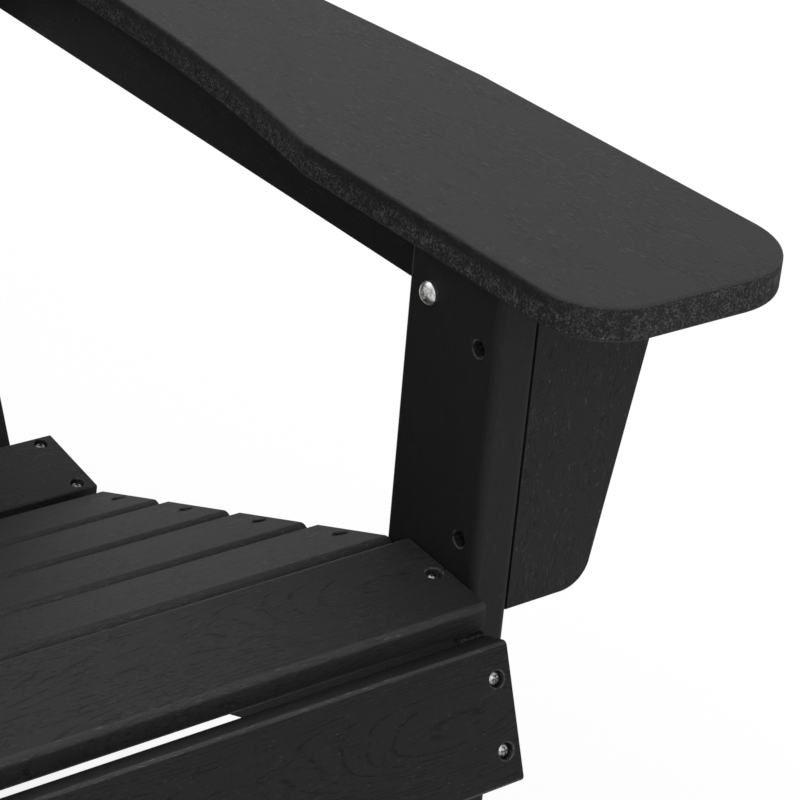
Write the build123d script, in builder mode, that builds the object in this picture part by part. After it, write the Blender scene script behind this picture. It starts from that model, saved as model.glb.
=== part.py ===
from build123d import *

import os
from math import cos, radians, sin

# An outdoor armchair of the adirondack kind, made of moulded plastic boards.
# +X is the sitter's left, the chair faces -Y and stands on the plane Z = 0.
# Lengths are in millimetres, angles in degrees.

# Boards: the front legs and the corbels are of thicker board than the rest
board = 20.0
thick_board = 29.0
board_round = 3.0
leg_round = 5.0
sawn_round = 2.0
end_round = 1.0

# Seat
seat_width = 500.0
seat_height = 362.4
seat_slope = 22.55
slat_count = 4
slat_width = 85.0
slat_gap = 6.5
slat_round = 7.0
slat_end_gap = 1.0
front_slat_width = 78.0
front_slat_tilt = 3.0
front_slat_tail = 9.0
front_slat_round = 5.0
rear_slat_width = 70.5
rear_slat_tilt = 6.4
rear_slat_overhang = 1.5

# Front legs and stringers
leg_width = 82.5
stringer_overhang = 16.0
stringer_depth = 113.0
foot_length = 180.0
tail_height = 48.0
tail_round = 25.0

# Front apron
apron_height = 82.5
apron_lean = 20.5
apron_drop = 0.8

# Arms
arm_height = 565.0
arm_overhang = 77.5
arm_tail = 14.0
arm_lip = 5.8
arm_width = 165.0
arm_inner_corner = 42.0
arm_outer_corner = 55.0
arm_bend = 182.0
arm_waist = 492.0
arm_waist_inset = 22.3
arm_taper = 227.0
arm_rear_width = 102.0
arm_rear_corner = 24.0

# Battens and corbels under the arms
batten_height = 45.0
batten_gap = 2.0
batten_tail = 35.0
corbel_setback = 1.1
corbel_clearance = 17.9
corbel_foot = 57.3
corbel_head = 93.5
corbel_corner = 20.0

# Back
back_lean = 25.5
back_clearance = 1.0
back_drop = 100.0
back_rise = 792.0
back_slat_count = 5
back_slat_foot = 76.2
back_slat_head = 96.0
back_gap_foot = 4.0
back_gap_head = 6.0
back_corner = 10.0
crown_radius = 520.0
lower_rail_height = 130.0
lower_rail_rise = 41.0
upper_rail_height = 76.0
upper_rail_clearance = 2.0

# Pan-head screws, each in a round pocket
screw_shank = 4.0
screw_tip = 4.0
screw_head = 8.0
screw_head_height = 2.6
screw_head_rim = 1.2
screw_pocket = 10.0
pocket_depth = 4.0
pocket_rim = 0.8
screw_bite = 22.0
recess_length = 4.6
recess_width = 1.1
recess_depth = 1.6
thread_clearance = 0.1
rear_screw_edge = 9.0
apron_screw_edge = 20.2
back_screw_spread = 22.0
rail_screw_low = 70.0
rail_screw_high = 38.0
rail_screw_bite = 40.0
corbel_pocket = 10.0
corbel_screw_bite = 32.0
corbel_screw_top = 39.3
corbel_screw_foot = 48.2
batten_pocket = 14.0
batten_screw_bite = 13.0
batten_screw_count = 3

# Button-head bolts with washers and nuts
bolt_shank = 8.0
bolt_head = 14.0
bolt_head_height = 6.0
bolt_head_rim = 2.0
bolt_end = 2.0
socket_flats = 5.0
socket_depth = 2.6
bolt_clearance = 0.2
washer_diameter = 17.0
washer_thickness = 1.6
nut_flats = 13.0
nut_height = 6.5
nut_bevel = 1.0
leg_bolt_spread = 15.0
leg_bolt_rise = 27.0
arm_bolt_edge = 21.6
arm_bolt_drop = 24.6
barrel_diameter = 10.0
barrel_length = 14.0
barrel_depth = 30.0


def heading(angle):
    """A unit step in the side view, level towards the back at angle 0."""
    return Vector(cos(radians(angle)), sin(radians(angle)))


def crossing(point_a, angle_a, point_b, angle_b):
    """Where two lines of the side view meet, each given by a point and an angle."""
    along = heading(angle_a)
    across = heading(angle_b + 90)
    return point_a + along * ((point_b - point_a).dot(across) / along.dot(across))


# Side view, measured back from the legs' front faces and up from the ground.
# The stringer's upper edge has a flat for the front slat, a slope for the slats
# and a flat for the rear slat.
back_angle = 90 - back_lean
apron_angle = 90 - apron_lean
front_seat = Vector(0, seat_height) + heading(front_slat_tilt - 90) * board
stringer_front = crossing(front_seat, front_slat_tilt, Vector(-stringer_overhang, 0), 90)
slope_start = stringer_front + heading(front_slat_tilt) * (front_slat_width - front_slat_tail)
front_turn = radians(front_slat_tilt + seat_slope)
first_slat = front_slat_tail * cos(front_turn) + slat_gap
slat_pitch = slat_width + slat_gap
slope_end = slope_start + heading(-seat_slope) * (first_slat + slat_count * slat_pitch)
rear_turn = radians(rear_slat_tilt + seat_slope)
rear_slat_start = slope_end + heading(rear_slat_tilt) * (
    board * sin(rear_turn) - slat_gap * cos(rear_turn) + slat_gap
)
stringer_hump = rear_slat_start + heading(rear_slat_tilt) * rear_slat_width
rear_slat_corner = stringer_hump + heading(rear_slat_tilt + 90) * board
stringer_under = slope_start + heading(-seat_slope - 90) * stringer_depth
stringer_nose = crossing(stringer_front, apron_angle, stringer_under, -seat_slope)
foot_front = crossing(stringer_under, -seat_slope, Vector(0, 0), 0)
foot_rear = foot_front + Vector(foot_length, 0)
tail_top = foot_rear + Vector(0, tail_height)

# The back's front face starts just behind the rear slat.
back_start = rear_slat_corner + heading(back_angle - 90) * back_clearance
back_top_rear = (
    back_start
    + heading(back_angle) * (back_rise - board_round)
    + heading(back_angle - 90) * (board - board_round)
)

# The origin is on the ground, midway between the arms' front and the back's top.
rear_reach = max(back_top_rear.X + board_round, foot_rear.X)
leg_front = (arm_overhang - rear_reach) / 2
side_view = Plane(origin=(0, leg_front, 0), x_dir=(0, 1, 0), z_dir=(1, 0, 0))
top_view = Plane(origin=(0, leg_front, 0))

# Across the chair
leg_inner = seat_width / 2
leg_outer = leg_inner + thick_board
stringer_inner = leg_inner - board
stringer_middle = leg_inner - board / 2
batten_outer = leg_outer + board
slat_length = seat_width - 2 * slat_end_gap

# Heights under the arms
leg_height = arm_height - board
batten_low = leg_height - batten_height
batten_middle = leg_height - batten_height / 2

# The upper back rail lies behind the slats, with its upper edge just under the arms.
# The bolts from the battens' middle enter it at the upper rail point.
lower_rail_middle = lower_rail_rise - lower_rail_height / 2
rail_line = back_start + heading(back_angle - 90) * (1.5 * board)
upper_rail_limit = leg_height - upper_rail_clearance - board / 2 * sin(radians(back_lean))
upper_rail_top = crossing(rail_line, back_angle, Vector(0, upper_rail_limit), 0)
upper_rail_middle = (upper_rail_top - rail_line).dot(heading(back_angle)) - upper_rail_height / 2
upper_rail_point = crossing(rail_line, back_angle, Vector(0, batten_middle), 0)
back_length = back_drop + back_rise

# Battens and arms run back past the upper rail.
batten_front = corbel_setback + thick_board + batten_gap
batten_rear = upper_rail_point.X + batten_tail
arm_back = batten_rear + arm_tail

# Two bolts cross the leg and the stringer where they lie together, and the corbel
# ends a little above them.
arm_bolt_point = Vector(leg_width - arm_bolt_edge, leg_height - arm_bolt_drop)
leg_middle = Vector(leg_width / 2, 0)
joint_top = crossing(front_seat, front_slat_tilt, leg_middle, 90)
joint_low = crossing(stringer_under, -seat_slope, leg_middle, 90)
joint_middle = (joint_top + joint_low) * 0.5
leg_bolt_points = [
    joint_middle + Vector(leg_bolt_spread, leg_bolt_rise) * way for way in (1, -1)
]
corbel_low = leg_bolt_points[0].Y + bolt_head / 2 + corbel_clearance
corbel_drop = leg_height - corbel_low


def face_plane(point, angle):
    """A plane on a board's face: x across the chair, y along the board at an angle."""
    normal = heading(angle + 90)
    place = (0, leg_front + point.X, point.Y)
    return Plane(origin=place, x_dir=(1, 0, 0), z_dir=(0, normal.X, normal.Y))


def spot(plane, x, y):
    """A plane shifted to a point of its own surface."""
    return Plane(plane.from_local_coords((x, y, 0)), x_dir=plane.x_dir, z_dir=plane.z_dir)


def side_spot(x, point, facing):
    """A plane square to X at a point of the side view, facing +X or -X."""
    return Plane(origin=(x, leg_front + point.X, point.Y), z_dir=(facing, 0, 0))


def both_sides(spots):
    """Spots of the left side with their mirror images on the right."""
    return spots + [
        Plane(
            origin=(-place.origin.X, place.origin.Y, place.origin.Z),
            z_dir=(-place.z_dir.X, place.z_dir.Y, place.z_dir.Z),
        )
        for place in spots
    ]


def sunk(spots, depth):
    """The same spots, moved into the board."""
    return [place.offset(-depth) for place in spots]


# Screw and bolt places on the left side
front_slat_top = face_plane(
    stringer_front + heading(front_slat_tilt + 90) * board, front_slat_tilt
)
slope_top = face_plane(slope_start + heading(90 - seat_slope) * board, -seat_slope)
rear_slat_top = face_plane(
    rear_slat_start + heading(rear_slat_tilt + 90) * board, rear_slat_tilt
)
apron_back = stringer_front - heading(apron_angle) * (apron_drop + apron_height)
apron_face = face_plane(apron_back + heading(apron_angle + 90) * board, apron_angle)
back_face = face_plane(back_start, back_angle)

slat_starts = [first_slat + number * slat_pitch for number in range(slat_count)]
front_slat_spots = [spot(front_slat_top, stringer_middle, front_slat_width / 2)]
slat_spots = [spot(slope_top, stringer_middle, start + slat_width / 2) for start in slat_starts]
rear_slat_spots = [
    spot(rear_slat_top, stringer_middle, along)
    for along in (rear_screw_edge, rear_slat_width - rear_screw_edge)
]
apron_spots = [
    spot(apron_face, stringer_middle, along)
    for along in (apron_screw_edge, apron_height - apron_screw_edge)
]
rail_spots = [
    side_spot(leg_inner, rail_line - heading(back_angle) * below, 1)
    for below in (rail_screw_low, rail_screw_high)
]
corbel_middle = corbel_setback + thick_board / 2
corbel_spots = [
    side_spot(leg_inner, Vector(corbel_middle, height), -1)
    for height in (leg_height - corbel_screw_top, corbel_low + corbel_screw_foot)
]
batten_screw_pitch = (upper_rail_point.X - arm_bolt_point.X) / (batten_screw_count + 1)
batten_spots = [
    Plane(
        origin=(
            leg_outer + board / 2,
            leg_front + arm_bolt_point.X + number * batten_screw_pitch,
            batten_low,
        ),
        z_dir=(0, 0, -1),
    )
    for number in range(1, batten_screw_count + 1)
]
arm_bolt_spots = [side_spot(leg_inner, arm_bolt_point, -1)]
leg_bolt_spots = [side_spot(leg_outer, point, 1) for point in leg_bolt_points]
rail_bolt_spots = [side_spot(batten_outer, upper_rail_point, 1)]


def fanned(foot, head, height):
    """A size of the back's fan at a height along the back, from its values at foot and head."""
    return foot + (head - foot) * (height + back_drop) / back_length


def slat_pitch_at(height):
    """Distance between the back slats' middles at a height along the back."""
    return fanned(back_slat_foot + back_gap_foot, back_slat_head + back_gap_head, height)


back_numbers = [number - (back_slat_count - 1) / 2 for number in range(back_slat_count)]


def back_spots(number, height):
    """The two screw places of one back slat at a rail."""
    middle = number * slat_pitch_at(height)
    return [spot(back_face, middle + way * back_screw_spread, height) for way in (-1, 1)]


def write(piece, name):
    """Name a finished piece and write it."""
    piece.part.label = name
    export_step(piece.part, f"parts/{name}.step")


def write_pair(piece, name):
    """Write a left-hand piece and its mirror image."""
    with BuildPart() as twin:
        mirror(piece.part, about=Plane.YZ)
    write(piece, f"left_{name}")
    write(twin, f"right_{name}")


def screw_holes(spots, depth=pocket_depth, through=board):
    """Pockets and clearance holes for screws through one board."""
    with Locations(*spots):
        CounterBoreHole(screw_shank / 2 + thread_clearance, screw_pocket / 2, depth, through)
        Cone(
            screw_pocket / 2,
            screw_pocket / 2 + pocket_rim,
            pocket_rim,
            align=(Align.CENTER, Align.CENTER, Align.MAX),
            mode=Mode.SUBTRACT,
        )


def pilot_holes(spots, start, bite):
    """Blind holes for the screws' threads, below the board that they hold."""
    with Locations(*sunk(spots, start)):
        Hole(screw_shank / 2 + thread_clearance, bite)


def bolt_holes(spots, depth):
    """Plain holes for bolts."""
    with Locations(*spots):
        Hole(bolt_shank / 2 + bolt_clearance, depth)


os.makedirs("parts", exist_ok=True)

# Front leg: a board on end, with the stringer inside it and the batten outside
with BuildPart() as leg:
    with BuildSketch(top_view):
        with Locations((leg_inner, 0)):
            RectangleRounded(thick_board, leg_width, leg_round, align=(Align.MIN, Align.MIN))
    extrude(amount=leg_height)
    fillet(leg.edges().filter_by(Axis.Z, reverse=True), end_round)
    screw_holes(corbel_spots, corbel_pocket, thick_board)
    bolt_holes(arm_bolt_spots, thick_board)
    bolt_holes(leg_bolt_spots, thick_board)
write_pair(leg, "front_leg")

# Stringer: carries the seat and runs back to the ground as the rear leg
with BuildPart() as stringer:
    with BuildSketch(side_view.offset(stringer_inner)) as outline:
        with BuildLine():
            Polyline(
                stringer_front,
                slope_start,
                slope_end,
                stringer_hump,
                tail_top,
                foot_rear,
                foot_front,
                stringer_nose,
                close=True,
            )
        make_face()
        fillet(outline.vertices().sort_by_distance(tail_top)[0], tail_round)
        fillet(outline.vertices().sort_by_distance(foot_rear)[0], board_round)
    extrude(amount=board)
    fillet(stringer.edges().filter_by(Axis.X, reverse=True), end_round)
    pilot_holes(front_slat_spots + slat_spots + rear_slat_spots + apron_spots, board, screw_bite)
    screw_holes(rail_spots)
    bolt_holes(sunk(leg_bolt_spots, thick_board), board)
write_pair(stringer, "stringer")

# Arm: a broad paddle that narrows towards the back
arm_inner = leg_inner - arm_lip
arm_outer = arm_inner + arm_width
waist_inner = leg_inner + arm_waist_inset
with BuildPart() as arm:
    with BuildSketch(top_view.offset(leg_height)) as outline:
        with BuildLine():
            Polyline(
                (arm_inner, arm_bend),
                (arm_inner, -arm_overhang),
                (arm_outer, -arm_overhang),
                (arm_outer, arm_taper),
                (waist_inner + arm_rear_width, arm_back),
                (waist_inner, arm_back),
                (waist_inner, arm_waist),
            )
            TangentArc((waist_inner, arm_waist), (arm_inner, arm_bend), tangent=(0, -1))
        make_face()
        fillet(outline.vertices().sort_by_distance((arm_inner, -arm_overhang))[0], arm_inner_corner)
        fillet(outline.vertices().sort_by_distance((arm_outer, -arm_overhang))[0], arm_outer_corner)
        fillet(outline.vertices().group_by(Axis.Y)[-1], arm_rear_corner)
    extrude(amount=board)
    fillet(arm.edges().filter_by(Axis.Z, reverse=True), sawn_round)
    pilot_holes(batten_spots, batten_height, batten_screw_bite)
write_pair(arm, "arm")

# Batten: a rail under the arm, from the leg to the back
with BuildPart() as batten:
    with BuildSketch(side_view.offset(leg_outer)):
        with Locations((batten_front, batten_low)):
            Rectangle(batten_rear - batten_front, batten_height, align=(Align.MIN, Align.MIN))
    extrude(amount=board)
    fillet(batten.edges().group_by(Axis.Z)[0], sawn_round)
    with Locations(*batten_spots):
        CounterBoreHole(
            screw_shank / 2 + thread_clearance, screw_pocket / 2, batten_pocket, batten_height
        )
    bolt_holes(sunk(arm_bolt_spots, thick_board), board)
    bolt_holes(rail_bolt_spots, board)
write_pair(batten, "arm_batten")

# Corbel: a bracket on the leg's outer face that holds the arm's overhang
corbel_view = Plane(
    origin=(leg_outer, leg_front + corbel_setback, leg_height), x_dir=(1, 0, 0), z_dir=(0, -1, 0)
)
with BuildPart() as corbel:
    with BuildSketch(corbel_view) as outline:
        with BuildLine():
            Polyline(
                (0, 0),
                (0, -corbel_drop),
                (corbel_foot, -corbel_drop),
                (corbel_head, 0),
                close=True,
            )
        make_face()
        fillet(outline.vertices().sort_by_distance((corbel_foot, -corbel_drop))[0], corbel_corner)
    extrude(amount=-thick_board)
    free_edges = corbel.edges().filter_by(Axis.Y, reverse=True).filter_by(
        lambda edge: edge.center().X > leg_outer + sawn_round
        and edge.center().Z < leg_height - sawn_round
    )
    fillet(free_edges, sawn_round)
    pilot_holes(corbel_spots, thick_board, corbel_screw_bite)
write_pair(corbel, "corbel")

# Front apron: closes the stringers' front ends
with BuildPart() as apron:
    with BuildSketch(side_view):
        with Locations(apron_back):
            RectangleRounded(
                apron_height, board, board_round, rotation=apron_angle, align=(Align.MIN, Align.MIN)
            )
    extrude(amount=seat_width / 2, both=True)
    fillet(apron.edges().filter_by(Axis.X, reverse=True), end_round)
    screw_holes(both_sides(apron_spots))
write(apron, "front_apron")


def seat_board(start, angle, width, rounding, spots):
    """A rounded board across the seat, from a point of the stringers' upper edge."""
    with BuildPart() as slat:
        with BuildSketch(side_view):
            with Locations(start):
                RectangleRounded(
                    width, board, rounding, rotation=angle, align=(Align.MIN, Align.MIN)
                )
        extrude(amount=slat_length / 2, both=True)
        fillet(slat.edges().filter_by(Axis.X, reverse=True), end_round)
        screw_holes(both_sides(spots))
    return slat


# Front slat and the sloping slats behind it
write(
    seat_board(
        stringer_front, front_slat_tilt, front_slat_width, front_slat_round, front_slat_spots
    ),
    "front_seat_slat",
)
for number, start in enumerate(slat_starts):
    slat_start = slope_start + heading(-seat_slope) * start
    slat = seat_board(slat_start, -seat_slope, slat_width, slat_round, [slat_spots[number]])
    write(slat, f"seat_slat_{number + 1}")

# Rear slat: its rear edge is bevelled to lie along the back
rear_slat_bevel = crossing(rear_slat_corner, back_angle, stringer_hump, rear_slat_tilt)
with BuildPart() as rear_slat:
    with BuildSketch(side_view) as outline:
        with BuildLine():
            Polyline(
                rear_slat_start,
                rear_slat_bevel,
                rear_slat_corner,
                rear_slat_start + heading(rear_slat_tilt + 90) * board,
                close=True,
            )
        make_face()
        fillet(outline.vertices(), sawn_round)
    extrude(amount=seat_width / 2 + rear_slat_overhang, both=True)
    fillet(rear_slat.edges().filter_by(Axis.X, reverse=True), end_round)
    screw_holes(both_sides(rear_slat_spots))
write(rear_slat, "rear_seat_slat")


def back_rail(middle, height, length):
    """A board behind the back slats, across the chair, at a height along the back."""
    with BuildPart() as rail:
        with BuildSketch(side_view):
            with Locations(rail_line + heading(back_angle) * middle):
                RectangleRounded(height, board, board_round, rotation=back_angle)
        extrude(amount=length / 2, both=True)
        fillet(rail.edges().filter_by(Axis.X, reverse=True), end_round)
        for number in back_numbers:
            pilot_holes(back_spots(number, middle), board, board - board_round)
    return rail


# Lower rail: between the stringers, behind the slats' feet
lower_rail = back_rail(lower_rail_middle, lower_rail_height, 2 * stringer_inner)
with BuildPart() as drilled_lower_rail:
    add(lower_rail.part)
    pilot_holes(both_sides(rail_spots), board, rail_screw_bite)
write(drilled_lower_rail, "lower_back_rail")

# Upper rail: between the battens, with cross holes for the barrel nuts
barrel_spots = [
    spot(face_plane(upper_rail_point, back_angle), leg_outer - barrel_depth, 0)
]
upper_rail = back_rail(upper_rail_middle, upper_rail_height, 2 * leg_outer)
with BuildPart() as drilled_upper_rail:
    add(upper_rail.part)
    bolt_holes(both_sides(sunk(rail_bolt_spots, board)), barrel_depth + barrel_diameter)
    with Locations(*both_sides(sunk(barrel_spots, -board / 2))):
        Hole(barrel_diameter / 2 + bolt_clearance, board)
write(drilled_upper_rail, "upper_back_rail")

# Back slats: a fan of tapered boards, cut along one arc at the top
with BuildSketch() as crown:
    with Locations((0, back_rise - crown_radius)):
        Circle(crown_radius)
        Rectangle(2 * crown_radius, back_length, align=(Align.CENTER, Align.MAX))
blank_top = back_rise + board
for order, number in enumerate(back_numbers):
    foot_middle = number * slat_pitch_at(-back_drop)
    head_middle = number * slat_pitch_at(blank_top)
    head_width = fanned(back_slat_foot, back_slat_head, blank_top)
    with BuildPart() as back_slat:
        with BuildSketch(back_face) as outline:
            with BuildLine():
                Polyline(
                    (foot_middle - back_slat_foot / 2, -back_drop),
                    (foot_middle + back_slat_foot / 2, -back_drop),
                    (head_middle + head_width / 2, blank_top),
                    (head_middle - head_width / 2, blank_top),
                    close=True,
                )
            make_face()
            add(crown.sketch, mode=Mode.INTERSECT)
            fillet(outline.vertices(), back_corner)
        extrude(amount=-board)
        through = Axis((0, 0, 0), back_face.z_dir)
        fillet(back_slat.edges().filter_by(through, reverse=True), board_round)
        for height in (lower_rail_middle, upper_rail_middle):
            screw_holes(back_spots(number, height))
    write(back_slat, f"back_slat_{order + 1}")


def screws(spots, pocket, reach):
    """Screws with domed heads: a head at the bottom of each pocket, a shank to a given reach."""
    with BuildPart() as screw:
        with BuildSketch(Plane.XZ):
            with BuildLine():
                Polyline(
                    (0, -pocket + screw_head_height),
                    (0, -reach),
                    (screw_shank / 2, -reach + screw_tip),
                    (screw_shank / 2, -pocket),
                    (screw_head / 2, -pocket),
                    (screw_head / 2, -pocket + screw_head_rim),
                )
                TangentArc(
                    (0, -pocket + screw_head_height),
                    (screw_head / 2, -pocket + screw_head_rim),
                    tangent=(1, 0),
                )
            make_face()
        revolve(axis=Axis.Z)
        with BuildSketch(Plane.XY.offset(-pocket + screw_head_height)):
            Rectangle(recess_length, recess_width)
            Rectangle(recess_width, recess_length)
        extrude(amount=-recess_depth, mode=Mode.SUBTRACT)
    with BuildPart() as group:
        with Locations(*spots):
            add(screw.part)
    return group


def bolts(spots, length):
    """Button-head bolts with a hexagon socket, from their heads' seats to a given length."""
    with BuildPart() as bolt:
        with BuildSketch(Plane.XZ):
            with BuildLine():
                Polyline(
                    (0, bolt_head_height),
                    (0, -length),
                    (bolt_shank / 2, -length),
                    (bolt_shank / 2, 0),
                    (bolt_head / 2, 0),
                    (bolt_head / 2, bolt_head_rim),
                )
                TangentArc(
                    (0, bolt_head_height), (bolt_head / 2, bolt_head_rim), tangent=(1, 0)
                )
            make_face()
        revolve(axis=Axis.Z)
        with BuildSketch(Plane.XY.offset(bolt_head_height)):
            RegularPolygon(socket_flats / 2, 6, major_radius=False)
        extrude(amount=-socket_depth, mode=Mode.SUBTRACT)
    with BuildPart() as group:
        with Locations(*spots):
            add(bolt.part)
    return group


def washers(spots):
    """Flat washers, under the nuts."""
    with BuildPart() as group:
        with Locations(*spots):
            Cylinder(
                washer_diameter / 2,
                washer_thickness,
                align=(Align.CENTER, Align.CENTER, Align.MIN),
            )
            Hole(bolt_shank / 2 + bolt_clearance)
    return group


def nuts(spots):
    """Hexagon nuts with bevelled corners, on their washers."""
    with BuildPart() as nut:
        with BuildSketch(Plane.XY.offset(washer_thickness)):
            RegularPolygon(nut_flats / 2, 6, major_radius=False)
            Circle(bolt_shank / 2 + bolt_clearance, mode=Mode.SUBTRACT)
        extrude(amount=nut_height)
        with BuildSketch(Plane.XY.offset(washer_thickness)):
            Circle(nut_flats / 2 + nut_bevel)
        extrude(amount=nut_height, mode=Mode.INTERSECT)
    with BuildPart() as group:
        with Locations(*spots):
            add(nut.part)
    return group


# Screws
seat_reach = board + screw_bite
write(screws(both_sides(front_slat_spots), pocket_depth, seat_reach), "front_slat_screws")
write(screws(both_sides(slat_spots), pocket_depth, seat_reach), "seat_slat_screws")
write(screws(both_sides(rear_slat_spots), pocket_depth, seat_reach), "rear_slat_screws")
write(screws(both_sides(apron_spots), pocket_depth, seat_reach), "apron_screws")
back_reach = 2 * board - board_round
for name, height in (("lower", lower_rail_middle), ("upper", upper_rail_middle)):
    places = [place for number in back_numbers for place in back_spots(number, height)]
    write(screws(places, pocket_depth, back_reach), f"{name}_back_screws")
write(screws(both_sides(rail_spots), pocket_depth, board + rail_screw_bite), "lower_rail_screws")
corbel_reach = thick_board + corbel_screw_bite
write(screws(both_sides(corbel_spots), corbel_pocket, corbel_reach), "corbel_screws")
arm_reach = batten_height + batten_screw_bite
write(screws(both_sides(batten_spots), batten_pocket, arm_reach), "arm_screws")

# Bolts, washers and nuts: through leg and stringer, and through leg and batten
grip = thick_board + board
bolt_length = grip + washer_thickness + nut_height + bolt_end
for name, places in (("leg", leg_bolt_spots), ("arm", arm_bolt_spots)):
    ends = [
        Plane(place.offset(-grip).origin, z_dir=-place.z_dir) for place in both_sides(places)
    ]
    write(bolts(both_sides(places), bolt_length), f"{name}_bolts")
    write(washers(ends), f"{name}_bolt_washers")
    write(nuts(ends), f"{name}_bolt_nuts")

# Bolts through the battens into barrel nuts in the upper rail
rail_bolt_length = board + barrel_depth + barrel_diameter / 2
write(bolts(both_sides(rail_bolt_spots), rail_bolt_length), "back_rail_bolts")
with BuildPart() as barrel_nuts:
    with Locations(*both_sides(barrel_spots)):
        Cylinder(barrel_diameter / 2, barrel_length)
    bolt_holes(both_sides(sunk(rail_bolt_spots, board)), barrel_depth + barrel_diameter)
write(barrel_nuts, "back_rail_barrel_nuts")
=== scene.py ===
import math
from types import SimpleNamespace
from typing import NamedTuple

import bmesh
import bpy
from mathutils import Matrix, Quaternion, Vector


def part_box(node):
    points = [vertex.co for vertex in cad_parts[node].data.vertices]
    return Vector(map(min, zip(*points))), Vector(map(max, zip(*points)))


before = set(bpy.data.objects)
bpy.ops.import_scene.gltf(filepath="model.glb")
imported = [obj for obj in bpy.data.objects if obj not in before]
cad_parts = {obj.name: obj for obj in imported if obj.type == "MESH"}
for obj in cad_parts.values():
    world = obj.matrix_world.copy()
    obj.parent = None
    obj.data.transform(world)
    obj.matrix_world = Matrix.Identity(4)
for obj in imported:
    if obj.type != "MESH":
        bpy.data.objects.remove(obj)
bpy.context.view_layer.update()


class Pattern(NamedTuple):
    """A noise pattern: its swells in a metre on three axes, and how fine, rough and bent it is."""

    swells: tuple
    detail: float = 2.0
    roughness: float = 0.5
    distortion: float = 0.0


# Axes of the chair: across it, from front to back, and up

ACROSS_CHAIR = Vector((1, 0, 0))
TO_THE_BACK = Vector((0, 1, 0))
UP = Vector((0, 0, 1))

# Slopes of the chair, in degrees, as the boards lie

SEAT_SLOPE = 22.55
FRONT_SLAT_TILT = 3.0
REAR_SLAT_TILT = 6.4
APRON_LEAN = 20.5
BACK_LEAN = 25.5
BACK_FAN = 1.48

# How many boards of a kind there are

SEAT_SLATS = 4
BACK_SLATS = 5

# Half the thickness of a board and of a thick board, in metres

HALF_BOARD = 0.010
HALF_THICK_BOARD = 0.0145

# Colours of the boards and the steel

CHARCOAL = (0.0105, 0.0105, 0.0108)
CHARCOAL_PALE = (0.0240, 0.0240, 0.0244)
CHARCOAL_GROOVE = (0.0035, 0.0035, 0.0036)
CORE_DARK = (0.0190, 0.0190, 0.0192)
CORE_GRAIN = (0.1550, 0.1550, 0.1555)
# A pale for rubbed flecks, and also the colour of painted highlights on the edges and of painted
# glints
WORN_AND_HIGHLIGHT_PALE = (0.0900, 0.0900, 0.0905)
# A painted highlight: the pale ring on the chamfers round the screw pockets, bright even where
# they face away from the lamps
RIM_HIGHLIGHT_PALE = (0.2000, 0.2000, 0.2005)
# The bright and dull steels lie far apart, so that their patches stand in for glints as well as
# dulling: partly painted reflection
BRIGHT_STEEL = (0.620, 0.615, 0.605)
BRIGHT_STEEL_DULL = (0.300, 0.295, 0.288)
DARK_STEEL = (0.360, 0.356, 0.350)
DARK_STEEL_DULL = (0.045, 0.044, 0.043)
# A painted shade: the rear slat's screws are made dimmer than the others for the weaker light they
# reflect
SHADED_STEEL = (0.150, 0.148, 0.145)

# Patterns on a board's skin, with swells along its grain, across it and through it

STROKES = Pattern((100, 255, 255), detail=2.0, roughness=0.55, distortion=2.2)
STROKE_PATCHES = Pattern((26, 60, 60))
CLOUDS = Pattern((14, 30, 30))
# Glints: painted highlights, pale specks put in the colour to stand in for glinting light
GLINTS = Pattern((330, 800, 800), detail=1.0)
ARCH_RINGS = Pattern((2.6, 15, 15), detail=1.0, roughness=0.4, distortion=0.35)
ARCH_DASHES = Pattern((60, 420, 420), detail=2.0, roughness=0.55, distortion=0.6)
RUBBED_FLECKS = Pattern((110, 700, 700), detail=3.0, roughness=0.7)

# Patterns in a board's core and on the steel, with swells along the chair's own axes

CRUMBS = Pattern((640, 640, 640), detail=4.0, roughness=0.85)
CLUMPS = Pattern((170, 170, 170), detail=2.0, roughness=0.6)
STEEL_SMEARS = Pattern((560, 560, 560), detail=3.0, roughness=0.6)
STEEL_SCRATCHES = Pattern((2600, 340, 340), detail=2.0, roughness=0.6)

# Levels of a pattern between which its mark comes up, or goes away for the dark strokes

PATCH_LEVELS = (0.32, 0.56)
PALE_STROKE_LEVELS = (0.56, 0.68)
DARK_STROKE_LEVELS = (0.32, 0.44)
ARCH_LEVELS = (0.80, 1.0)
DASH_LEVELS = (0.44, 0.58)
GLINT_LEVELS = (0.70, 0.77)
CRUMB_LEVELS = (0.47, 0.64)
FLECK_LEVELS = (0.57, 0.72)
TARNISH_AND_GLINT_LEVELS = (0.45, 0.62)

# Shares of two patterns that are mixed

CRUMB_SHARE = 0.80
CLUMP_SHARE = 0.20
SMEAR_SHARE = 0.75
SCRATCH_SHARE = 0.25

# How close the arched lines lie, in radians of wave for one whole swell

ARCH_TURNS = 300

# How squarely a surface looks out of the wide face, from 0 to 1, where one kind becomes another

SAWN_SIDE_TO_FACE = (0.35, 0.85)
POCKET_WALL_TO_FACE = (0.05, 0.25)
SIDE_TO_ROUNDING = (0.12, 0.50)
ROUNDING_TO_FACE = (0.92, 0.995)
SIDE_TO_CHAMFER = (0.65, 0.69)
CHAMFER_TO_FACE = (0.725, 0.765)

# How squarely a surface looks out of an end, from 0 to 1, where one kind becomes another

SIDE_TO_SAWN_END = (0.45, 0.85)
SIDE_TO_POCKET_WALL = (0.10, 0.30)
POCKET_WALL_TO_END = (0.93, 0.99)
SIDE_TO_POCKET_RIM = (0.06, 0.22)

# How squarely an edge looks to the front, from 0 to 1, as it comes to be rubbed and painted with
# highlight in full

BACK_TO_FRONT = (0.0, 0.25)

# Depths at which the skin becomes the core, in halves of the thickness from a board's middle

THIN_SKIN_TO_CORE = (-0.92, -0.75)
CORE_TO_SIDE_SKIN = (0.05, 0.45)
CORE_TO_END_SKIN = (0.80, 1.0)

# How much each pattern tints a board, from 0 to 1

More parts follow.
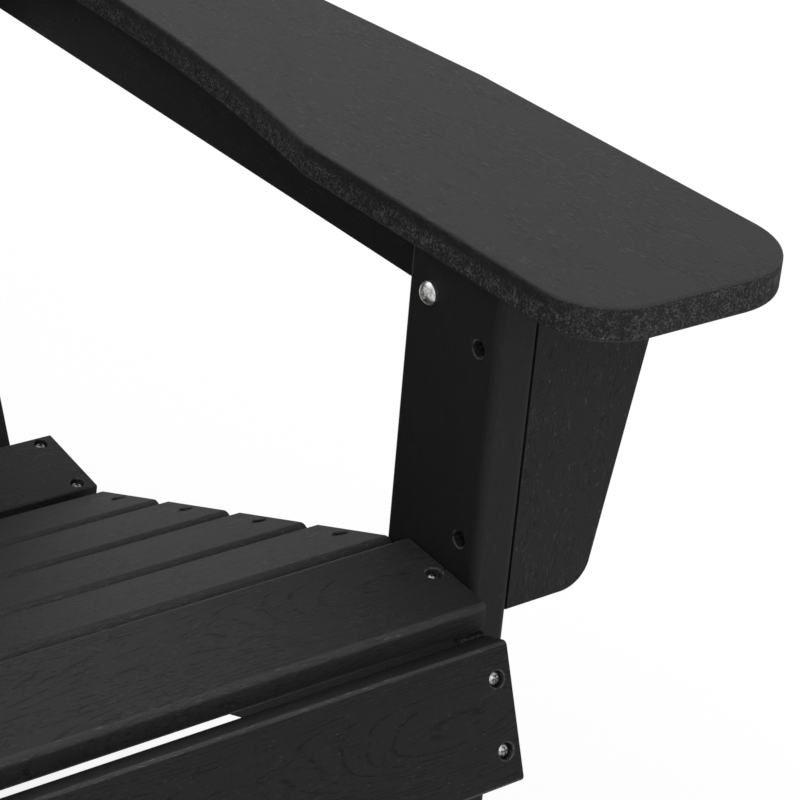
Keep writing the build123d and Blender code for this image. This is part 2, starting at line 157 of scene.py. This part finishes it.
GROUND_TINT = 0.24
CLOUD_TINT = 0.50
STROKE_TINT = 0.45
ARCH_TINT = 0.75
SAWN_SKIN_TINT = 0.55
GLINT_TINT = 0.45
# The steady pale along every rounded edge is a painted highlight, and the flecks on it are rubbing
EDGE_HIGHLIGHT_TINT = 0.15
RUBBED_FLECK_TINT = 0.40
# The ring round the screw pockets is a painted highlight, with crumbs in it
RIM_HIGHLIGHT_TINT = 0.12
RIM_HIGHLIGHT_CRUMB_TINT = 0.45

# The least share of core that a cut shows, and of rubbing and painted highlight on edges that look
# to the back

LEAST_CORE = 0.15
LEAST_BACK_WEAR_AND_HIGHLIGHT = 0.25

# Relief: depth in metres and strength, and how far each pattern stands out or sinks in

BOARD_RELIEF_DEPTH = 0.0009
BOARD_RELIEF = 0.75
STROKE_HEIGHT = 0.40
ARCH_SINK = 0.55
CRUMB_HEIGHT = 0.8
STEEL_RELIEF_DEPTH = 0.0001
STEEL_RELIEF = 0.12

# Gloss of the boards and the steel, and how far each pattern polishes or dulls it

BOARD_SPECULAR = 0.115
BOARD_ROUGHNESS = 0.60
STROKE_POLISH = 0.08
CLOUD_DULLING = 0.06
CORE_DULLING = 0.25
STEEL_ROUGHNESS = 0.20
SMEAR_DULLING = 0.12
SCRATCH_DULLING = 0.10

# The floor, the lamps and the pale room

WHITE = (1, 1, 1, 1)
FLOOR_REACH = 14.0
FLOOR_SIDES = 96
FLOOR_COLOUR = (0.96, 0.96, 0.96, 1)
FLOOR_SHADOW = 0.15
FLOOR_GLOW = 1.01
ROOM_LIGHT = 0.24
BACKDROP_GLOW = 1.0
LAMPS = {
    "top soft box": {"towards": (-0.10, -0.35, -1.0), "strength": 2.1, "spread": 75},
    "front soft box": {"towards": (0.10, 1.0, -0.55), "strength": 0.82, "spread": 60},
}

# The camera, at the photograph's viewing angle: metres, degrees and millimetres of lens

CAMERA_PLACE = (-0.56213, -1.33277, 1.12649)
CAMERA_HEADING = 38.245
CAMERA_DIP = 27.462
CAMERA_ROLL = 5.090
CAMERA_LENS = 116.911
CAMERA_SENSOR = 36.0
NEAREST_SEEN = 0.05
FARTHEST_SEEN = 100.0


class Wire:
    """A socket of a shader tree. Sums on it add Math nodes, and add() puts in any other node."""

    def __init__(self, tree, socket=None):
        self.tree = tree
        self.socket = socket

    def add(self, kind, settings=(), sockets=(), output=0):
        """A node with its settings made first, then its sockets set or linked."""
        node = self.tree.nodes.new("ShaderNode" + kind)
        for name, value in dict(settings).items():
            setattr(node, name, value)
        for name, value in dict(sockets).items():
            if isinstance(value, Wire):
                self.tree.links.new(value.socket, node.inputs[name])
            else:
                node.inputs[name].default_value = value
        return Wire(self.tree, node.outputs[output])

    def end_in(self, kind):
        """Leads this shader into the tree's output."""
        output = self.tree.nodes.new("ShaderNode" + kind)
        self.tree.links.new(self.socket, output.inputs["Surface"])

    def maths(self, operation, *values):
        return self.add("Math", {"operation": operation}, enumerate(values))

    def __add__(self, other):
        return self.maths("ADD", self, other)

    def __radd__(self, other):
        return self.maths("ADD", other, self)

    def __sub__(self, other):
        return self.maths("SUBTRACT", self, other)

    def __rsub__(self, other):
        return self.maths("SUBTRACT", other, self)

    def __mul__(self, other):
        return self.maths("MULTIPLY", self, other)

    def __rmul__(self, other):
        return self.maths("MULTIPLY", other, self)

    def __abs__(self):
        return self.maths("ABSOLUTE", self)

    def or_more(self, other):
        """The larger of this value and another."""
        return self.maths("MAXIMUM", self, other)

    def rise(self, low, high):
        """0 below low, 1 above high, and smooth between them."""
        return self.add(
            "MapRange",
            {"interpolation_type": "SMOOTHSTEP"},
            {"Value": self, "From Min": low, "From Max": high},
        )

    def towards(self, direction):
        """How far this direction looks along another, from -1 to 1."""
        return self.add(
            "VectorMath",
            {"operation": "DOT_PRODUCT"},
            {0: self, 1: tuple(direction)},
            output="Value",
        )

    def noise(self, pattern):
        """A noise pattern at these coordinates."""
        swelled = self.add("VectorMath", {"operation": "MULTIPLY"}, {0: self, 1: pattern.swells})
        return self.add(
            "TexNoise",
            {"noise_dimensions": "3D"},
            {
                "Vector": swelled,
                "Scale": 1.0,
                "Detail": pattern.detail,
                "Roughness": pattern.roughness,
                "Distortion": pattern.distortion,
            },
        )

    def tinted(self, dark, pale):
        """A colour between two, by this value."""
        return self.add(
            "Mix",
            {"data_type": "RGBA"},
            {0: self, 6: self.colour(dark), 7: self.colour(pale)},
            output=2,
        )

    @staticmethod
    def colour(value):
        return value if isinstance(value, Wire) else (*value, 1)


def new_material(name):
    """An empty material, and a wire to start its expressions from."""
    material = bpy.data.materials.new(name)
    material.use_nodes = True
    material.node_tree.nodes.clear()
    return material, Wire(material.node_tree)


def dress(node, material):
    """Gives a CAD node's object one material."""
    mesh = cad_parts[node].data
    mesh.materials.clear()
    mesh.materials.append(material)


# The finish of the boards


def lie_of_board(wire, node, grain, facing):
    """Where a point lies on a board, and how squarely the surface there looks three ways.

    place is the point along the grain, across it and through the board, from the board's middle.
    flat is 1 on the wide faces, end is 1 on the ends, and front is 1 where it faces the front.
    """
    low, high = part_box(node)
    turn = Matrix((grain, facing.cross(grain), facing))
    middle = turn @ ((low + high) / 2)
    coordinates = wire.add("TexCoord", output="Object")
    normal = wire.add("TexCoord", output="Normal")
    place = wire.add(
        "Mapping",
        {"vector_type": "POINT"},
        {"Vector": coordinates, "Rotation": turn.to_euler(), "Location": -middle},
    )
    return SimpleNamespace(
        coordinates=coordinates,
        place=place,
        through=place.add("SeparateXYZ", (), {0: place}, output="Z"),
        flat=abs(normal.towards(facing)),
        end=abs(normal.towards(grain)),
        front=normal.towards(-TO_THE_BACK),
    )


def moulded_grain(lie, figure, relief):
    """The skin's grain of wavy strokes, arched lines and clouds, and painted glints: pale specks
    of highlight.
    """
    strokes = lie.place.noise(STROKES)
    patches = lie.place.noise(STROKE_PATCHES).rise(*PATCH_LEVELS)
    pale_strokes = strokes.rise(*PALE_STROKE_LEVELS) * patches
    dark_strokes = (1 - strokes.rise(*DARK_STROKE_LEVELS)) * patches
    rings = lie.place.noise(ARCH_RINGS)
    waves = rings.maths("SINE", rings * ARCH_TURNS)
    dashes = lie.place.noise(ARCH_DASHES).rise(*DASH_LEVELS)
    return SimpleNamespace(
        pale_strokes=pale_strokes,
        embossed=(pale_strokes - dark_strokes) * relief,
        arched=waves.rise(*ARCH_LEVELS) * dashes * figure,
        clouds=lie.place.noise(CLOUDS),
        # Painted glints: pale specks in the colour that stand in for glinting light
        glints=lie.place.noise(GLINTS).rise(*GLINT_LEVELS) * relief,
    )


def foamed_core(lie, half, sawn_sides):
    """The core where a board is cut: pale crumbs in dark pits, between a thick and a thin skin."""

    def past(depths):
        """0 before the first of two depths, 1 past the second, and smooth between them."""
        return lie.through.rise(*(half * depth for depth in depths))

    crumbs = lie.coordinates.noise(CRUMBS)
    clumps = lie.coordinates.noise(CLUMPS)
    side_skin = past(CORE_TO_SIDE_SKIN) * (1 - lie.end)
    end_skin = past(CORE_TO_END_SKIN) * lie.end
    core = past(THIN_SKIN_TO_CORE) - side_skin - end_skin
    if sawn_sides:
        sawn = 1 - lie.flat.rise(*SAWN_SIDE_TO_FACE)
    else:
        sawn = lie.end.rise(*SIDE_TO_SAWN_END)
    # The walls of the screw pockets show the pale core, which also lifts the shade inside the
    # pockets: partly the core's own colour, partly painted light
    shade_lifted_pocket_wall = (
        (1 - lie.flat.rise(*POCKET_WALL_TO_FACE))
        * lie.end.rise(*SIDE_TO_POCKET_WALL)
        * (1 - lie.end.rise(*POCKET_WALL_TO_END))
    )
    return SimpleNamespace(
        crumbled=(crumbs * CRUMB_SHARE + clumps * CLUMP_SHARE).rise(*CRUMB_LEVELS),
        open=sawn.or_more(shade_lifted_pocket_wall) * (LEAST_CORE + core * (1 - LEAST_CORE)),
        sawn_skin=sawn * (1 - core),
    )


def rubbed_and_highlit_edge(lie, wear_and_highlight):
    """Flecks rubbed pale, and a painted highlight, where a rounded edge turns away, most of all
    towards the front.
    """
    exposed = LEAST_BACK_WEAR_AND_HIGHLIGHT + lie.front.rise(*BACK_TO_FRONT) * (1 - LEAST_BACK_WEAR_AND_HIGHLIGHT)
    rounding = lie.flat.rise(*SIDE_TO_ROUNDING) * (1 - lie.flat.rise(*ROUNDING_TO_FACE))
    flecks = lie.place.noise(RUBBED_FLECKS).rise(*FLECK_LEVELS)
    # The steady share is a painted highlight along the rounding, and the flecks are rubbing
    return rounding * exposed * (EDGE_HIGHLIGHT_TINT + flecks * RUBBED_FLECK_TINT) * wear_and_highlight


def pocket_rim(lie):
    """1 on the small chamfers round the screw pockets."""
    chamfer = lie.flat.rise(*SIDE_TO_CHAMFER) * (1 - lie.flat.rise(*CHAMFER_TO_FACE))
    return chamfer * lie.end.rise(*SIDE_TO_POCKET_RIM)


def board_finish(
    node,
    grain,
    facing,
    figure=0.0,
    sawn_sides=False,
    tone_with_painted_light=1.0,
    relief=1.0,
    wear_and_highlight=1.0,
    half=HALF_BOARD,
):
    """The finish of one charcoal poly board: embossed grain on its faces, foamed core where cut.

    grain is the way its grain runs and facing the way its wide face looks. figure is how strongly
    the arched grain lines show, relief how strongly the rest of the grain does, and wear how much
    its rounded edges are rubbed and how strong the painted highlight along them is. A board sawn
    from sheet has its core open on all its sides, and one moulded to its width has it open at its
    ends and in its screw pockets, whose walls show the pale core, which also lifts the shade
    inside them as painted light. tone is how pale the board is painted beside the others, to how
    bright it
    looks under the light: painted light and shade. half is half its thickness.
    """
    material, wire = new_material(node.replace("_", " ") + " board")
    lie = lie_of_board(wire, node, grain, facing)
    skin = moulded_grain(lie, figure, relief)
    core = foamed_core(lie, half, sawn_sides)

    colour = (GROUND_TINT + skin.clouds * CLOUD_TINT + skin.embossed * STROKE_TINT).tinted(
        # Each board's charcoal is scaled to how bright that board looks under the light: painted
        # light and shade
        [value * tone_with_painted_light for value in CHARCOAL], [value * tone_with_painted_light for value in CHARCOAL_PALE]
    )
    colour = (skin.arched * ARCH_TINT).tinted(colour, CHARCOAL_GROOVE)
    colour = (core.sawn_skin * SAWN_SKIN_TINT).tinted(colour, CHARCOAL_GROOVE)
    # Paler on rounded edges and in specks: rubbed flecks, a painted highlight along the edges, and
    # painted glints
    colour = (rubbed_and_highlit_edge(lie, wear_and_highlight) + skin.glints * GLINT_TINT).tinted(colour, WORN_AND_HIGHLIGHT_PALE)
    # A painted highlight on the chamfers round the screw pockets, flecked with crumbs
    rim_highlight = pocket_rim(lie) * (RIM_HIGHLIGHT_TINT + core.crumbled * RIM_HIGHLIGHT_CRUMB_TINT)
    colour = rim_highlight.tinted(colour, RIM_HIGHLIGHT_PALE)
    colour = core.open.tinted(colour, core.crumbled.tinted(CORE_DARK, CORE_GRAIN))

    skin_height = skin.embossed * STROKE_HEIGHT - skin.arched * ARCH_SINK
    height = skin_height * (1 - core.open) + core.crumbled * CRUMB_HEIGHT * core.open
    bump = wire.add(
        "Bump",
        (),
        {"Height": height, "Strength": BOARD_RELIEF, "Distance": BOARD_RELIEF_DEPTH},
    )
    roughness = (
        BOARD_ROUGHNESS
        - skin.pale_strokes * STROKE_POLISH
        + skin.clouds * CLOUD_DULLING
        + core.open * CORE_DULLING
    )
    shader = wire.add(
        "BsdfPrincipled",
        (),
        {
            "Base Color": colour,
            "Roughness": roughness,
            "Normal": bump,
            "Specular IOR Level": BOARD_SPECULAR,
        },
    )
    shader.end_in("OutputMaterial")
    dress(node, material)


def upright(angle):
    """A direction in the side view, that many degrees up from the chair's back-pointing axis."""
    return Vector((0, math.cos(math.radians(angle)), math.sin(math.radians(angle))))


# The two sides of the chair

# Boards are made paler or darker one by one to how bright each looks under the light: painted
# light and shade
for side in ("left", "right"):
    board_finish(f"{side}_arm", TO_THE_BACK, UP, sawn_sides=True, tone_with_painted_light=1.25)
    board_finish(f"{side}_arm_batten", TO_THE_BACK, ACROSS_CHAIR, tone_with_painted_light=0.8, relief=0.5)
    board_finish(
        f"{side}_front_leg",
        UP,
        ACROSS_CHAIR,
        tone_with_painted_light=0.79,
        relief=0.4,
        wear_and_highlight=0.1,
        half=HALF_THICK_BOARD,
    )
    board_finish(
        f"{side}_corbel",
        UP,
        TO_THE_BACK,
        sawn_sides=True,
        tone_with_painted_light=0.9,
        relief=1.5,
        half=HALF_THICK_BOARD,
    )
    # The stringers are painted darker for the shade under the seat: painted shade
    board_finish(
        f"{side}_stringer", upright(-SEAT_SLOPE), ACROSS_CHAIR, sawn_sides=True, tone_with_painted_light=0.45
    )

# The seat and the apron

apron_facing = upright(180 - APRON_LEAN)
front_slat_facing = upright(90 + FRONT_SLAT_TILT)
seat_facing = upright(90 - SEAT_SLOPE)
rear_slat_facing = upright(90 + REAR_SLAT_TILT)
board_finish("front_apron", ACROSS_CHAIR, apron_facing, figure=1.0, tone_with_painted_light=0.83, wear_and_highlight=2.6)
board_finish("front_seat_slat", ACROSS_CHAIR, front_slat_facing, figure=0.8, tone_with_painted_light=1.13, wear_and_highlight=2.0)
board_finish("rear_seat_slat", ACROSS_CHAIR, rear_slat_facing, figure=0.2, tone_with_painted_light=0.79)
for number in range(1, SEAT_SLATS + 1):
    board_finish(f"seat_slat_{number}", ACROSS_CHAIR, seat_facing, figure=0.35, tone_with_painted_light=0.84)

# The back, whose slats fan out from the middle one

back_facing = upright(180 - BACK_LEAN)
back_rise = upright(90 - BACK_LEAN)
middle_slat = (BACK_SLATS + 1) // 2
board_finish("lower_back_rail", ACROSS_CHAIR, back_facing, figure=0.5)
board_finish("upper_back_rail", ACROSS_CHAIR, back_facing, figure=0.5)
for number in range(1, BACK_SLATS + 1):
    fan = Quaternion(back_facing, math.radians((middle_slat - number) * BACK_FAN))
    board_finish(f"back_slat_{number}", fan @ back_rise, back_facing, figure=0.6)


# The screws, bolts, washers and nuts


def steel_finish(node, bright, dull):
    """Steel between a bright and a dull colour, with a turned, slightly rubbed finish; its dull
    patches are set off so strongly from bright ones that they also stand in for glints, a painted
    reflection.
    """
    material, wire = new_material(node.replace("_", " ") + " steel")
    coordinates = wire.add("TexCoord", output="Object")
    smears = coordinates.noise(STEEL_SMEARS)
    scratches = coordinates.noise(STEEL_SCRATCHES)
    # Dull patches on bright steel: partly real dulling, partly painted glints
    tarnish_and_glints = (smears * SMEAR_SHARE + scratches * SCRATCH_SHARE).rise(*TARNISH_AND_GLINT_LEVELS)
    roughness = STEEL_ROUGHNESS + smears * SMEAR_DULLING + scratches * SCRATCH_DULLING
    bump = wire.add(
        "Bump",
        (),
        {"Height": scratches, "Strength": STEEL_RELIEF, "Distance": STEEL_RELIEF_DEPTH},
    )
    shader = wire.add(
        "BsdfPrincipled",
        (),
        {
            "Base Color": tarnish_and_glints.tinted(bright, dull),
            "Metallic": 1.0,
            "Roughness": roughness,
            "Normal": bump,
        },
    )
    shader.end_in("OutputMaterial")
    dress(node, material)


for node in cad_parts:
    # The rear slat's screws are painted dimmer, a painted shade for the weaker light they reflect
    if node == "rear_slat_screws":
        steel_finish(node, SHADED_STEEL, DARK_STEEL_DULL)
    elif node.endswith("screws"):
        steel_finish(node, DARK_STEEL, DARK_STEEL_DULL)
    elif node.endswith(("bolts", "washers", "nuts")):
        steel_finish(node, BRIGHT_STEEL, BRIGHT_STEEL_DULL)


# The floor, white where it is seen, which keeps a soft shadow of the chair


def seen_directly(wire):
    """1 on camera, glossy and transmission rays, which are the ones that show a surface."""
    camera_ray = wire.add("LightPath", output="Is Camera Ray")
    glossy_ray = wire.add("LightPath", output="Is Glossy Ray")
    clear_ray = wire.add("LightPath", output="Is Transmission Ray")
    return camera_ray.or_more(glossy_ray).or_more(clear_ray)


floor_material, floor_wire = new_material("pale floor")
floor_shown = seen_directly(floor_wire) * (1 - FLOOR_SHADOW)
matt = floor_wire.add("BsdfDiffuse", (), {"Color": FLOOR_COLOUR})
glow = floor_wire.add("Emission", (), {"Color": WHITE, "Strength": FLOOR_GLOW})
floor_wire.add("MixShader", (), {0: floor_shown, 1: matt, 2: glow}).end_in("OutputMaterial")

floor_shape = bmesh.new()
bmesh.ops.create_circle(floor_shape, cap_ends=True, radius=FLOOR_REACH, segments=FLOOR_SIDES)
floor_mesh = bpy.data.meshes.new("floor")
floor_shape.to_mesh(floor_mesh)
floor_shape.free()
floor_mesh.materials.append(floor_material)
floor = bpy.data.objects.new("floor", floor_mesh)
bpy.context.scene.collection.objects.link(floor)


# The light: a wide soft lamp above and behind, a weaker one from the front, and a pale room


def soft_lamp(name, towards, strength, spread):
    """A far lamp that shines one way, as wide as a large soft box."""
    lamp = bpy.data.lights.new(name, "SUN")
    lamp.energy = strength
    lamp.angle = math.radians(spread)
    holder = bpy.data.objects.new(name, lamp)
    holder.rotation_mode = "QUATERNION"
    holder.rotation_quaternion = Vector(towards).to_track_quat("-Z", "Y")
    bpy.context.scene.collection.objects.link(holder)


for lamp_name, lamp_settings in LAMPS.items():
    soft_lamp(lamp_name, **lamp_settings)

world = bpy.data.worlds.new("pale room")
world.use_nodes = True
world.node_tree.nodes.clear()
world_wire = Wire(world.node_tree)
world_shown = seen_directly(world_wire)
room = world_wire.add("Background", (), {"Color": WHITE, "Strength": ROOM_LIGHT})
backdrop = world_wire.add("Background", (), {"Color": WHITE, "Strength": BACKDROP_GLOW})
world_wire.add("MixShader", (), {0: world_shown, 1: room, 2: backdrop}).end_in("OutputWorld")
bpy.context.scene.world = world
bpy.context.scene.view_settings.view_transform = "Standard"

# The camera on its tripod

heading = Quaternion(UP, math.radians(-CAMERA_HEADING))
looking = heading @ upright(-CAMERA_DIP)
camera = bpy.data.cameras.new("camera")
camera.lens = CAMERA_LENS
camera.sensor_width = CAMERA_SENSOR
camera.clip_start = NEAREST_SEEN
camera.clip_end = FARTHEST_SEEN
tripod = bpy.data.objects.new("camera", camera)
tripod.location = CAMERA_PLACE
tripod.rotation_mode = "QUATERNION"
roll = Quaternion(UP, math.radians(CAMERA_ROLL))
tripod.rotation_quaternion = looking.to_track_quat("-Z", "Y") @ roll
bpy.context.scene.collection.objects.link(tripod)
bpy.context.scene.camera = tripod
